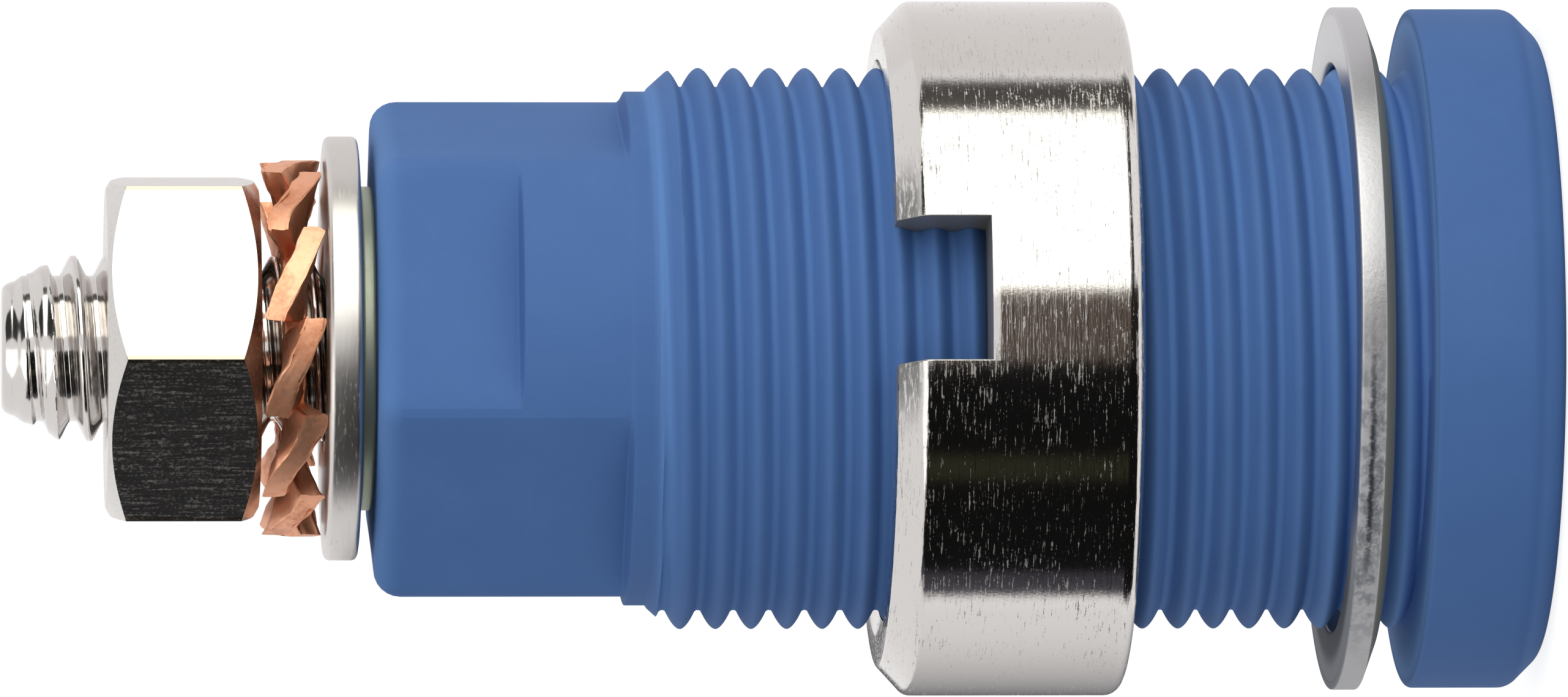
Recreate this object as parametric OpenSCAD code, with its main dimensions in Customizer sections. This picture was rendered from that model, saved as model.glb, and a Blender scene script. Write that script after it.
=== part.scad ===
// Panel-mount safety socket for a shrouded 4 mm banana plug.
// It stands on its front face: the origin is the centre of that face and +Z runs along the axis
// to the terminal stud. Sizes are in millimetres.

/* [Housing] */
// Outside diameter of the housing's thread
thread_d = 11.8; // [11.4:0.1:13]
// How far the front flange stands out past the thread
flange_lip = 1.25; // [0.9:0.05:2.5]
// Thickness of the front flange
flange_t = 2.72; // [1.5:0.02:4]
// Radius of the flange's front edge
flange_round = 0.7; // [0.2:0.05:0.9]
// Bevel on the flange's rear edge
flange_back_bevel = 0.08; // [0.05:0.01:0.3]
// Length of the threaded stretch behind the flange
thread_len = 16; // [13:0.1:20]
// Length of the thread's lead-in bevel
thread_lead = 0.5; // [0.2:0.05:1]
// How far the rear barrel lies inside the thread
barrel_step = 0.5; // [0.3:0.05:0.7]
// Length of the rear barrel
barrel_len = 5.88; // [5:0.02:8]
// Depth of the flats below the barrel's round surface
flat_depth = 0.675; // [0.4:0.005:0.8]
// Length of the round neck between the thread and the long flats
barrel_neck = 0.55; // [0.4:0.05:1.5]
// Length of the two short flats
short_flat_len = 3; // [2:0.1:4]
// Turn of the flats about the axis, in degrees
flat_turn = 285.5; // [0:0.5:360]
// Bevel round the barrel's rear edge
rear_bevel = 0.4; // [0.2:0.05:0.6]

/* [Plug side] */
// Width of the groove for the plug's sheath
groove_w = 1.05; // [0.9:0.05:1.2]
// Thickness of the solid wall behind that groove
rear_wall = 6.1; // [5:0.1:8]
// Wall of the inner tube, between the groove and the contact
tube_wall = 0.63; // [0.5:0.01:0.8]
// Depth of the inner tube's end below the front face
tube_recess = 0.6; // [0.2:0.1:2]
// Thickness of the inner tube's front lip, which covers the contact's end
lip_t = 1; // [0.6:0.1:2]
// Bevel at the mouths of the holes
mouth_bevel = 0.3; // [0.1:0.05:0.4]

/* [Contact] */
// Diameter of the bore for the plug's pin
plug_bore_d = 4; // [3.9:0.05:4.1]
// Wall of the contact round that bore
contact_wall = 0.45; // [0.4:0.05:0.6]
// Thickness of the solid metal behind that bore
contact_floor = 2.7; // [2:0.1:5]
// How far the contact's rear collar stands out past the contact
collar_lip = 0.95; // [0.6:0.05:1.5]
// Thickness of the contact's rear collar
collar_t = 0.2; // [0.1:0.02:1]
// Outside diameter of the stud's thread
stud_d = 3.9; // [3.8:0.05:4]
// Length of the stud beyond the collar
stud_len = 7.47; // [7:0.01:12]
// Bevel at the stud's end
stud_bevel = 0.65; // [0.2:0.05:0.8]

/* [Panel nut and washer] */
// Wall of the panel nut
panel_nut_wall = 1.35; // [1.1:0.05:2.5]
// Height of the panel nut
panel_nut_h = 5.1; // [3.5:0.1:6]
// Distance from the flange to the panel nut
panel_nut_place = 6.06; // [3:0.01:7]
// Width of the bevel on the panel nut's rear edge, across its face
panel_nut_bevel_w = 0.6; // [0.2:0.05:0.8]
// Height of that bevel, along the axis
panel_nut_bevel_h = 0.55; // [0.2:0.05:1]
// Radius of the panel nut's front edge
panel_nut_round = 0.33; // [0.1:0.01:0.6]
// Width of the slots for the spanner
slot_w = 3; // [2:0.05:4]
// Depth of the slots for the spanner
slot_depth = 1.92; // [1:0.01:2.5]
// Turn of the slots about the axis, in degrees
slot_turn = 280.2; // [0:0.1:360]
// Width of the panel washer's ring
panel_washer_w = 1.09; // [0.9:0.01:2.5]
// Thickness of the panel washer at its rim
panel_washer_rim = 0.52; // [0.3:0.01:1]
// Height of the raised, bevelled side that faces the flange
panel_washer_rise = 0.25; // [0.1:0.01:0.5]
// Width of that bevel, across the washer's ring
panel_washer_bevel = 0.69; // [0.1:0.01:0.8]
// Distance from the flange to the panel washer
panel_washer_place = 0.83; // [0:0.01:1]

/* [Terminal hardware] */
// Width of the flat washer's ring
flat_washer_w = 2.3; // [1.8:0.05:3]
// Thickness of the flat washer
flat_washer_t = 0.7; // [0.5:0.05:1]
// Rounding of the flat washer's rim
flat_washer_round = 0.12; // [0.05:0.01:0.2]
// Width of the lock washer's ring, without its teeth
lock_ring_w = 0.7; // [0.5:0.05:0.9]
// Length of the lock washer's teeth, from its ring to their tips
lock_tooth_len = 1.11; // [0.9:0.01:1.4]
// Sheet thickness of the lock washer
lock_sheet = 0.46; // [0.3:0.02:0.6]
// Number of teeth on the lock washer
lock_teeth = 12; // [8:1:12]
// Twist of each tooth, in degrees
lock_twist = 27; // [15:1:35]
// Turn of the lock washer about the axis, in degrees
lock_turn = 264; // [0:1:360]
// Width of the gap between two teeth at their tips
lock_gap = 0.05; // [0.02:0.01:0.4]
// Width of the gap between two teeth at their roots
lock_root_gap = 0.3; // [0.2:0.05:0.5]
// Distance across the flats of the terminal nut
terminal_nut_af = 7; // [6:0.1:8]
// Height of the terminal nut
terminal_nut_h = 3.2; // [2:0.1:4]
// Turn of the terminal nut about the axis, in degrees
terminal_nut_turn = 268; // [0:1:360]

/* [Clearances] */
// Radial clearance between a nut and its thread
thread_clearance = 0.05; // [0.02:0.01:0.08]
// Radial clearance between a washer and its thread
washer_clearance = 0.2; // [0.1:0.05:0.3]
// Radial clearance between the contact and the housing
contact_clearance = 0.02; // [0.01:0.01:0.05]
// Radial clearance between the plug's pin and the inner tube's lip
pin_clearance = 0.2; // [0.1:0.05:0.3]
// Gap between faces that turn on each other
face_gap = 0.02; // [0.01:0.01:0.05]

/* [Hidden] */
$fn = 96;

// Slope of a nut's corner bevel and of a drilled hole's end, in degrees
nut_bevel_slope = 30;
drill_slope = 31;
// Flats round the barrel, of which each opposite pair is alike, and sides of the terminal nut
barrel_flats = 6;
nut_sides = 6;
// Overshoot of a cut past the face that it opens
cut = 1;
// Slices in a rounded edge
round_steps = 6;
// Slices along a twisted tooth
twist_steps = 6;

// Radii of the contact and of the housing, from the plug's bore outwards
plug_bore_r = plug_bore_d / 2;
lip_r = plug_bore_r + pin_clearance;
contact_r = plug_bore_r + contact_wall;
collar_r = contact_r + collar_lip;
contact_hole_r = contact_r + contact_clearance;
tube_r = contact_hole_r + tube_wall;
sheath_r = tube_r + groove_w;
thread_r = thread_d / 2;
flange_r = thread_r + flange_lip;
barrel_r = thread_r - barrel_step;
flat_r = barrel_r - flat_depth;

// Radii of the holes that run on a thread, and of the rings round them
panel_nut_hole_r = thread_r + thread_clearance;
panel_nut_r = panel_nut_hole_r + panel_nut_wall;
panel_washer_hole_r = thread_r + washer_clearance;
panel_washer_r = panel_washer_hole_r + panel_washer_w;
stud_r = stud_d / 2;
terminal_nut_hole_r = stud_r + thread_clearance;
stud_washer_hole_r = stud_r + washer_clearance;
flat_washer_r = stud_washer_hole_r + flat_washer_w;
lock_ring_r = stud_washer_hole_r + lock_ring_w;
lock_tip_r = lock_ring_r + lock_tooth_len;

// The lock washer's teeth all but meet at their tips before they are twisted
lock_tip_w = 2 * PI * lock_tip_r / lock_teeth - lock_gap;
lock_root_w = 2 * PI * lock_ring_r / lock_teeth - lock_root_gap;
lock_root_r = lock_ring_r - lock_ring_w / 2;
lock_height = lock_tip_w * sin(lock_twist) + lock_sheet * cos(lock_twist);

// Places along the axis
thread_end = flange_t + thread_len;
rear_z = thread_end + barrel_len;
sheath_end = rear_z - rear_wall;
contact_front = tube_recess + lip_t;
plug_bore_end = rear_z - contact_floor;
collar_end = rear_z + collar_t;
stud_end = collar_end + stud_len;
panel_washer_z = flange_t + panel_washer_place;
panel_washer_t = panel_washer_rise + panel_washer_rim;
panel_nut_z = flange_t + panel_nut_place;
flat_washer_z = collar_end + face_gap;
lock_washer_z = flat_washer_z + flat_washer_t + face_gap;
terminal_nut_z = lock_washer_z + lock_height + face_gap;

// Points of a round edge about [r, z], from one angle to another
function round_edge(r, z, radius, from, to) =
    [for (i = [0 : round_steps])
        let (a = from + (to - from) * i / round_steps)
        [r + radius * cos(a), z + radius * sin(a)]];

// The housing's section: inner tube, sheath groove, flange, thread, barrel and the contact's hole
module housing_section() {
    polygon(concat(
        [
            [lip_r + mouth_bevel, tube_recess],
            [tube_r, tube_recess],
            [tube_r, sheath_end],
            [sheath_r, sheath_end],
            [sheath_r, mouth_bevel],
            [sheath_r + mouth_bevel, 0]
        ],
        round_edge(flange_r - flange_round, flange_round, flange_round, -90, 0),
        [
            [flange_r, flange_t - flange_back_bevel],
            [flange_r - flange_back_bevel, flange_t],
            [thread_r, flange_t],
            [thread_r, thread_end - thread_lead],
            [barrel_r, thread_end],
            [barrel_r, rear_z - rear_bevel],
            [barrel_r - rear_bevel, rear_z],
            [contact_hole_r, rear_z],
            [contact_hole_r, contact_front],
            [lip_r, contact_front],
            [lip_r, tube_recess + mouth_bevel]
        ]
    ));
}

// What one flat takes off the barrel, with the bevel along its rear edge
module flat_cut(from_z) {
    depth = flat_depth + cut;
    translate([flat_r, -barrel_r, from_z])
        cube([depth, 2 * barrel_r, rear_z - from_z + cut]);
    translate([flat_r - rear_bevel, 0, rear_z])
        rotate([0, -45, 0])
            translate([0, -barrel_r, -depth])
                cube([depth, 2 * barrel_r, 2 * depth]);
}

module housing() {
    color([0.29, 0.44, 0.67])
        difference() {
            rotate_extrude() housing_section();
            for (i = [0 : barrel_flats - 1])
                let (short = i % (barrel_flats / 2) == 0)
                    rotate(flat_turn + 360 / barrel_flats * i)
                        flat_cut(short ? rear_z - short_flat_len : thread_end + barrel_neck);
        }
}

// The contact's section: plug bore, collar that seats on the housing, and the terminal stud
module contact() {
    color([0.80, 0.79, 0.76])
        rotate_extrude()
            polygon([
                [plug_bore_r + mouth_bevel / 2, contact_front],
                [contact_r, contact_front],
                [contact_r, rear_z],
                [collar_r, rear_z],
                [collar_r, collar_end],
                [stud_r, collar_end],
                [stud_r, stud_end - stud_bevel],
                [stud_r - stud_bevel, stud_end],
                [0, stud_end],
                [0, plug_bore_end + plug_bore_r * tan(drill_slope)],
                [plug_bore_r, plug_bore_end],
                [plug_bore_r, contact_front + mouth_bevel / 2]
            ]);
}

module panel_washer() {
    color([0.80, 0.79, 0.76])
        translate([0, 0, panel_washer_z])
            rotate_extrude()
                polygon([
                    [panel_washer_hole_r, 0],
                    [panel_washer_r - panel_washer_bevel, 0],
                    [panel_washer_r, panel_washer_rise],
                    [panel_washer_r, panel_washer_t],
                    [panel_washer_hole_r, panel_washer_t]
                ]);
}

module panel_nut_section() {
    polygon(concat(
        [
            [panel_nut_hole_r, mouth_bevel],
            [panel_nut_hole_r + mouth_bevel, 0]
        ],
        round_edge(panel_nut_r - panel_nut_round, panel_nut_round, panel_nut_round, -90, 0),
        [
            [panel_nut_r, panel_nut_h - panel_nut_bevel_h],
            [panel_nut_r - panel_nut_bevel_w, panel_nut_h],
            [panel_nut_hole_r + mouth_bevel, panel_nut_h],
            [panel_nut_hole_r, panel_nut_h - mouth_bevel]
        ]
    ));
}

module panel_nut() {
    color([0.80, 0.79, 0.76])
        translate([0, 0, panel_nut_z])
            difference() {
                rotate_extrude() panel_nut_section();
                rotate(slot_turn)
                    translate([-panel_nut_r - cut, -slot_w / 2, panel_nut_h - slot_depth])
                        cube([2 * (panel_nut_r + cut), slot_w, slot_depth + cut]);
            }
}

module flat_washer() {
    rim_r = flat_washer_r - flat_washer_round;
    color([0.80, 0.79, 0.76])
        translate([0, 0, flat_washer_z])
            rotate_extrude()
                polygon(concat(
                    [[stud_washer_hole_r, 0]],
                    round_edge(rim_r, flat_washer_round, flat_washer_round, -90, 0),
                    round_edge(rim_r, flat_washer_t - flat_washer_round, flat_washer_round, 0, 90),
                    [[stud_washer_hole_r, flat_washer_t]]
                ));
}

// A point of a tooth: part of the way out from its root, at one edge, the middle or the other edge
// (-1, 0 or 1), and on one side of the sheet or the other (-1 or 1). The blank's rim is round, and
// the tooth widens and twists about its own middle line as it goes out.
function tooth_point(part, edge, side) =
    let (
        rim = sqrt(pow(lock_tip_r, 2) - pow(edge * lock_tip_w / 2, 2)),
        across = edge * (lock_root_w + (lock_tip_w - lock_root_w) * part) / 2,
        turn = -lock_twist * part,
        above = side * lock_sheet / 2
    )
    [
        lock_root_r + (rim - lock_root_r) * part,
        across * cos(turn) - above * sin(turn),
        across * sin(turn) + above * cos(turn)
    ];

// One tooth: a strip of six points round, from its root in the ring to its tip
module lock_tooth() {
    outline = [[-1, -1], [0, -1], [1, -1], [1, 1], [0, 1], [-1, 1]];
    sides = len(outline);
    points = [for (i = [0 : twist_steps], p = outline) tooth_point(i / twist_steps, p[0], p[1])];
    walls = [for (i = [0 : twist_steps - 1], j = [0 : sides - 1])
        let (next = (j + 1) % sides, low = i * sides, high = low + sides)
        [low + j, high + j, high + next, low + next]];
    tip = twist_steps * sides;
    ends = [
        [0, 1, 4, 5], [1, 2, 3, 4],
        [tip + 5, tip + 4, tip + 1, tip], [tip + 4, tip + 3, tip + 2, tip + 1]
    ];
    polyhedron(points, concat(walls, ends));
}

module lock_washer() {
    color([0.78, 0.52, 0.38])
        translate([0, 0, lock_washer_z + lock_height / 2]) {
            difference() {
                cylinder(h = lock_sheet, r = lock_ring_r, center = true);
                cylinder(h = lock_sheet + cut, r = stud_washer_hole_r, center = true);
            }
            for (i = [0 : lock_teeth - 1])
                rotate(lock_turn + 360 / lock_teeth * i)
                    lock_tooth();
        }
}

// A hexagon, bevelled round both ends to a circle just inside its flats
module terminal_nut() {
    af_r = terminal_nut_af / 2;
    corner_r = af_r / cos(180 / nut_sides);
    slope = tan(nut_bevel_slope);
    face_r = af_r - mouth_bevel / 2;
    blank_r = corner_r + cut / 2;
    drop = (blank_r - face_r) * slope;
    color([0.80, 0.79, 0.76])
        translate([0, 0, terminal_nut_z])
            difference() {
                intersection() {
                    rotate(terminal_nut_turn)
                        cylinder(h = terminal_nut_h, r = corner_r, $fn = nut_sides);
                    rotate_extrude()
                        polygon([
                            [0, 0],
                            [face_r, 0],
                            [blank_r, drop],
                            [blank_r, terminal_nut_h - drop],
                            [face_r, terminal_nut_h],
                            [0, terminal_nut_h]
                        ]);
                }
                rotate_extrude()
                    polygon([
                        [0, -cut],
                        [terminal_nut_hole_r + mouth_bevel + cut, -cut],
                        [terminal_nut_hole_r, mouth_bevel],
                        [terminal_nut_hole_r, terminal_nut_h - mouth_bevel],
                        [terminal_nut_hole_r + mouth_bevel + cut, terminal_nut_h + cut],
                        [0, terminal_nut_h + cut]
                    ]);
            }
}

housing();
contact();
panel_washer();
panel_nut();
flat_washer();
lock_washer();
terminal_nut();
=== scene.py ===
"""Safety banana socket: models its housing, contact, nuts and washers, and the stage that it is shown on."""

import math

import bpy
import numpy as np
from mathutils import Matrix, Vector


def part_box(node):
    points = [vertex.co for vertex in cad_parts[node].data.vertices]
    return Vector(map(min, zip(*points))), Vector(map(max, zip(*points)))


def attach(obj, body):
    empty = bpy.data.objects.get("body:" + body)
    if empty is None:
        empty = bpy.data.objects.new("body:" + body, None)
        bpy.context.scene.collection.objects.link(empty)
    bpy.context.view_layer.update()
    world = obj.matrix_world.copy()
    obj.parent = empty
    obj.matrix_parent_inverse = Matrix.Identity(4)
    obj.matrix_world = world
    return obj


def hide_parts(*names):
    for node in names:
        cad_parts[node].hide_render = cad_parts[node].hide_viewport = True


bl_info = {
    "name": "Safety banana socket",
    "version": (1, 0, 0),
    "blender": (4, 5, 0),
    "location": "View3D > Sidebar > Socket",
    "description": "Models a panel socket with its nuts, washers and contact, and sets the stage for it",
    "category": "Add Mesh",
}

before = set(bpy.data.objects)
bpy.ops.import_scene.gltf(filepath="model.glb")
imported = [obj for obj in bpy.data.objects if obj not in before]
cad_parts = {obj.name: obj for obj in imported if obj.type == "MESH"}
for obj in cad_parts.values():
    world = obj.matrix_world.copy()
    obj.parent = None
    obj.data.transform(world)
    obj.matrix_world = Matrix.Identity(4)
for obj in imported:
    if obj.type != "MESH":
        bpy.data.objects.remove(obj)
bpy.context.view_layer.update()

# Pieces and finishes are worked out in millimetres; a finished piece is brought to metres.
MM = 0.001
FULL_TURN = 2 * math.pi
ROUND_STEPS = 180
STUD_STEPS = 96
FILLET_STEPS = 6
SAME_PLACE = 1e-5


def node_box(node):
    """Lowest and highest corner of a node of the frame, in millimetres."""
    low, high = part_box(node)
    return low / MM, high / MM


def length(name, default, description):
    """A size in millimetres."""
    return bpy.props.FloatProperty(
        name=name, default=default, min=0.0, precision=3, description=f"{description}, in millimetres"
    )


def turn(name, default, description):
    """An angle about the axis, stored in radians."""
    return bpy.props.FloatProperty(
        name=name, default=math.radians(default), subtype="ANGLE", description=description
    )


def colour(name, red, green, blue, description):
    """A linear colour."""
    shade = (red, green, blue)
    return bpy.props.FloatVectorProperty(
        name=name, default=shade, size=3, min=0.0, max=1.0, subtype="COLOR", description=description
    )


class SocketSizes(bpy.types.PropertyGroup):
    """Sizes of the socket that the frame's boxes don't give."""

    thread_r: length("Thread radius", 5.9, "Radius over the crests of the housing's thread")
    thread_depth: length("Thread depth", 0.4, "Depth of the housing's thread")
    thread_pitch: length("Thread pitch", 0.75, "Rise of the housing's thread in one turn")
    thread_crest: length("Thread crest", 16.907, "Height of a crest of the housing's thread at +X")
    thread_end: length("Thread end", 18.72, "Height at which the housing's thread ends")
    flange_t: length("Flange thickness", 2.72, "Thickness of the front flange")
    flange_bevel: length("Flange bevel", 0.62, "Bevel on the flange's front edge")
    flange_round: length("Flange rounding", 0.45, "Radius on both sides of that bevel")
    barrel_r: length("Barrel radius", 5.4, "Radius of the rear barrel's round surface")
    neck_step: length("Neck step", 0.035, "How far the barrel lies below the neck beside the thread")
    flat_r: length("Flat distance", 4.725, "Distance of the barrel's flats from the axis")
    flat_turn: turn("Flat turn", 285.5, "Direction that the near flat faces")
    long_flat_z: length("Long flat start", 19.27, "Height at which the four long flats start")
    short_flat_z: length("Short flat start", 21.56, "Height at which the two short flats start")
    rear_round: length("Rear rounding", 0.56, "Radius of the barrel's rear edge")
    seat_depth: length("Seat depth", 0.09, "How far the collar's seat lies below the frame's housing")
    sheath_r: length("Groove radius", 4.15, "Outer radius of the groove for the plug's sheath")
    sheath_end: length("Groove end", 18.5, "Height at which that groove ends")
    tube_r: length("Tube radius", 3.1, "Outer radius of the inner tube")
    tube_z: length("Tube recess", 0.6, "Depth of the inner tube's end below the front face")
    lip_r: length("Lip radius", 2.2, "Radius of the hole in the inner tube's front lip")
    lip_z: length("Lip end", 1.58, "Height at which that lip ends")
    mouth: length("Mouth bevel", 0.3, "Bevel at the mouths of the groove and the lip")
    contact_hole_r: length("Contact hole radius", 2.47, "Radius of the hole that holds the contact")
    contact_r: length("Contact radius", 2.45, "Radius of the contact inside the housing")
    plug_bore_r: length("Plug bore radius", 2.0, "Radius of the bore for the plug's pin")
    plug_bore_end: length("Plug bore end", 21.9, "Height at which that bore ends")
    collar_r: length("Collar radius", 3.4, "Radius of the contact's rear collar")
    collar_t: length("Collar thickness", 0.2, "How far that collar stands out of the frame's housing")
    stud_r: length("Stud radius", 1.95, "Radius over the crests of the stud's thread")
    stud_depth: length("Stud thread depth", 0.42, "Depth of the stud's thread")
    stud_pitch: length("Stud pitch", 0.7, "Rise of the stud's thread in one turn")
    stud_crest: length("Stud crest", 30.77, "Height of a crest of the stud's thread at +X")
    stud_end_r: length("Stud end radius", 1.3, "Radius of the stud's end face")
    play: length("Thread play", 0.05, "Gap between a thread and its nut")
    nut_bevel_w: length("Panel nut bevel width", 0.6, "Width across of the bevel on the nut's rear edge")
    nut_bevel_h: length("Panel nut bevel height", 0.55, "Height of that bevel along the axis")
    nut_bevel_round: length("Panel nut bevel rounding", 0.3, "Radius between that bevel and the nut's side")
    nut_round: length("Panel nut rounding", 0.33, "Radius of the panel nut's front edge")
    slot_w: length("Slot width", 3.0, "Width of the panel nut's spanner slot")
    slot_depth: length("Slot depth", 1.92, "Depth of that slot")
    slot_turn: turn("Slot turn", 280.2, "Direction of that slot")
    panel_washer_hole_r: length("Panel washer hole", 5.97, "Radius of the panel washer's hole")
    panel_washer_face_r: length("Panel washer face", 6.5, "Radius of the panel washer's raised front face")
    panel_washer_rim: length("Panel washer rim", 0.52, "Thickness of the panel washer at its rim")
    stud_washer_hole_r: length("Stud washer hole", 2.15, "Radius of the holes of the washers on the stud")
    lock_ring_r: length("Lock ring radius", 2.85, "Outer radius of the lock washer's ring")
    lock_root: length("Lock root", 0.45, "How far the lock washer's teeth reach into its ring")
    lock_sheet: length("Lock sheet", 0.46, "Thickness of the lock washer's sheet")
    lock_tip_w: length("Lock tooth width", 2.14, "Width of a lock tooth at its tip")
    lock_root_w: length("Lock root width", 1.2, "Width of a lock tooth at the ring")
    lock_turn: turn("Lock turn", 264.0, "Direction of a lock tooth")
    hexagon_turn: turn("Hexagon turn", 266.8, "Direction of a corner of the terminal nut")
    hexagon_w: length("Hexagon width", 7.0, "Width of the terminal nut across its flats")
    hexagon_face_r: length("Hexagon face", 3.35, "Radius of the round face left by the nut's bevel")


class SocketColours(bpy.types.PropertyGroup):
    """Colours of the socket's finishes and of the stage."""

    plastic: colour("Plastic", 0.066, 0.150, 0.368, "Blue of the moulded housing")
    plastic_pale: colour("Pale plastic", 0.075, 0.165, 0.392, "Blue of the housing where it is rubbed")
    # Painted light: this paler blue lightens the thread roots and the housing's shaded bevel and rear
    # rounding, standing in for light where shade falls.
    plastic_painted_light: colour("Root plastic", 0.110, 0.235, 0.510, "Paler blue of thread roots and worn edges")
    # Painted light: the palest blue lightens the flange's rear face and the thread beside the panel washer,
    # where the washer shades them.
    plastic_corner_light: colour("Corner plastic", 0.150, 0.305, 0.640, "Palest blue, beside the panel washer")
    nickel: colour("Nickel", 0.645, 0.615, 0.595, "Bright nickel plate")
    nickel_dark: colour("Dark nickel", 0.42, 0.40, 0.37, "Nickel plate in scratches and torn edges")
    punched: colour("Punched nickel", 0.53, 0.525, 0.545, "Plate of the punched panel washer")
    # Also painted shade: this colour darkens the panel washer's rear face on its lower side.
    torn: colour("Torn nickel", 0.19, 0.20, 0.22, "Torn metal on the panel washer's rim")
    milled: colour("Milled nickel", 0.17, 0.168, 0.16, "Dull walls of the nut's slot, and marks beside it")
    # Painted shade as well as burrs: on the rear face this colour darkens the lower side next to the hole.
    burr: colour("Burr", 0.035, 0.04, 0.05, "Burrs on the panel washer's rim, and grime on its rear face")
    # Painted reflection and shade: this khaki on the panel washer's dull front stands in for the flange's
    # reflection and shade there.
    painted_olive_reflection: colour("Olive nickel", 0.24, 0.23, 0.17, "Dull plate on the panel washer's front")
    copper: colour("Copper", 0.86, 0.44, 0.28, "Copper-coloured bronze of the lock washer")
    copper_dark: colour("Dark copper", 0.52, 0.19, 0.09, "Bronze where it is tarnished")
    # Painted reflection and light: this pale green-grey on the collar stands in for green reflections and
    # lightens it against the shade between washer and barrel.
    collar: colour("Collar", 0.55, 0.60, 0.45, "Dull plate on the contact's collar")
    # Painted reflection: this warm colour on the terminal nut's corner edges stands in for a warm reflection
    # along them.
    painted_warm_reflection: colour("Brass", 0.50, 0.42, 0.33, "Brass that shows on the terminal nut's worn edges")
    floor: colour("Floor", 0.86, 0.86, 0.86, "Pale floor")


# Modelling helpers


def start_alone():
    """Leaves edit mode and deselects everything, so that an operator acts only on what comes next."""
    if bpy.context.object and bpy.context.object.mode != "OBJECT":
        bpy.ops.object.mode_set(mode="OBJECT")
    bpy.ops.object.select_all(action="DESELECT")


def pick(piece, kind, wanted):
    """Goes into edit mode with only those vertices or edges selected that are wanted."""
    bpy.ops.object.mode_set(mode="EDIT")
    bpy.ops.mesh.select_mode(type=kind)
    bpy.ops.mesh.select_all(action="DESELECT")
    bpy.ops.object.mode_set(mode="OBJECT")
    parts = {"VERT": piece.data.vertices, "EDGE": piece.data.edges}[kind]
    for part in parts:
        part.select = wanted(part)
    bpy.ops.object.mode_set(mode="EDIT")


def edge_ends(piece, edge):
    """Places of an edge's two ends."""
    return [piece.data.vertices[index].co for index in edge.vertices]


def sharp_edges(piece, degrees):
    """Numbers of the edges whose two faces meet at more than an angle."""
    normals = {}
    for face in piece.data.polygons:
        for key in face.edge_keys:
            normals.setdefault(key, []).append(face.normal)
    limit = math.radians(degrees)
    return {
        edge.index
        for edge in piece.data.edges
        if len(normals.get(edge.key, ())) == 2 and normals[edge.key][0].angle(normals[edge.key][1], 0) > limit
    }


def bevelled(piece, wanted, width, segments):
    """Bevels those edges of a piece that are wanted."""
    pick(piece, "EDGE", wanted)
    bpy.ops.mesh.bevel(offset=width, segments=segments, affect="EDGES")
    bpy.ops.object.mode_set(mode="OBJECT")


def rounded(corners):
    """Points of an outline whose corners (radius, height, rounding) are replaced by arcs."""
    points = []
    count = len(corners)
    for index, (radius, height, rounding) in enumerate(corners):
        here = Vector((radius, height))
        if rounding == 0:
            points.append(here)
            continue
        before = (Vector(corners[index - 1][:2]) - here).normalized()
        after = (Vector(corners[(index + 1) % count][:2]) - here).normalized()
        half = before.angle(after) / 2
        reach = rounding / math.tan(half)
        middle = here + (before + after).normalized() * rounding / math.sin(half)
        first = here + before * reach - middle
        last = here + after * reach - middle
        for step in range(FILLET_STEPS + 1):
            points.append(middle + first.slerp(last, step / FILLET_STEPS) * rounding)
    return points


def ring(hole_r, rim_r, low, high, hole_round, rim_round):
    """Outline of a flat ring with rounded edges."""
    front = [(hole_r, low, hole_round), (rim_r, low, rim_round)]
    return rounded(front + [(rim_r, high, rim_round), (hole_r, high, hole_round)])


def rows(low, high, radius, step):
    """Evenly spaced outline points up a straight stretch."""
    count = max(2, round((high - low) / step))
    return [(radius, low + (high - low) * index / count) for index in range(count + 1)]


def spun(name, outline, steps, turned=0.0, through=FULL_TURN):
    """Spins an outline of (radius, height) points about the axis, into a closed mesh if it goes all round."""
    start_alone()
    bpy.ops.mesh.primitive_plane_add(size=1)
    piece = bpy.context.object
    piece.name = piece.data.name = name
    bpy.ops.object.mode_set(mode="EDIT")
    bpy.ops.mesh.select_mode(type="VERT")
    bpy.ops.mesh.select_all(action="SELECT")
    bpy.ops.mesh.merge(type="CENTER")
    out = Vector((math.cos(turned), math.sin(turned), 0))
    places = [out * radius + Vector((0, 0, height)) for radius, height in outline]
    bpy.ops.transform.translate(value=places[0])
    for here, there in zip(places, places[1:]):
        bpy.ops.mesh.extrude_vertices_move(TRANSFORM_OT_translate={"value": there - here})
    bpy.ops.mesh.select_all(action="SELECT")
    if outline[0][0] > SAME_PLACE and through == FULL_TURN:
        bpy.ops.object.mode_set(mode="OBJECT")
        last = len(piece.data.vertices) - 1
        pick(piece, "VERT", lambda vertex: vertex.index in (0, last))
        bpy.ops.mesh.edge_face_add()
        bpy.ops.mesh.select_all(action="SELECT")
    bpy.ops.mesh.spin(steps=steps, angle=through, center=(0, 0, 0), axis=(0, 0, 1))
    bpy.ops.mesh.select_all(action="SELECT")
    bpy.ops.mesh.remove_doubles(threshold=SAME_PLACE)
    bpy.ops.mesh.normals_make_consistent(inside=False)
    bpy.ops.object.mode_set(mode="OBJECT")
    return piece


def reshaped(piece, rule):
    """Moves each vertex in or out: the rule gives new radii for radii, angles and heights."""
    places = np.empty(3 * len(piece.data.vertices))
    piece.data.vertices.foreach_get("co", places)
    places = places.reshape(-1, 3)
    radius = np.hypot(places[:, 0], places[:, 1])
    angle = np.arctan2(places[:, 1], places[:, 0])
    share = rule(radius, angle, places[:, 2]) / np.maximum(radius, SAME_PLACE)
    places[:, :2] *= share[:, None]
    piece.data.vertices.foreach_set("co", places.ravel())
    piece.data.update()


def take_up(piece):
    """Makes a piece the only one that operators act on."""
    start_alone()
    bpy.context.view_layer.objects.active = piece
    piece.select_set(True)


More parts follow.
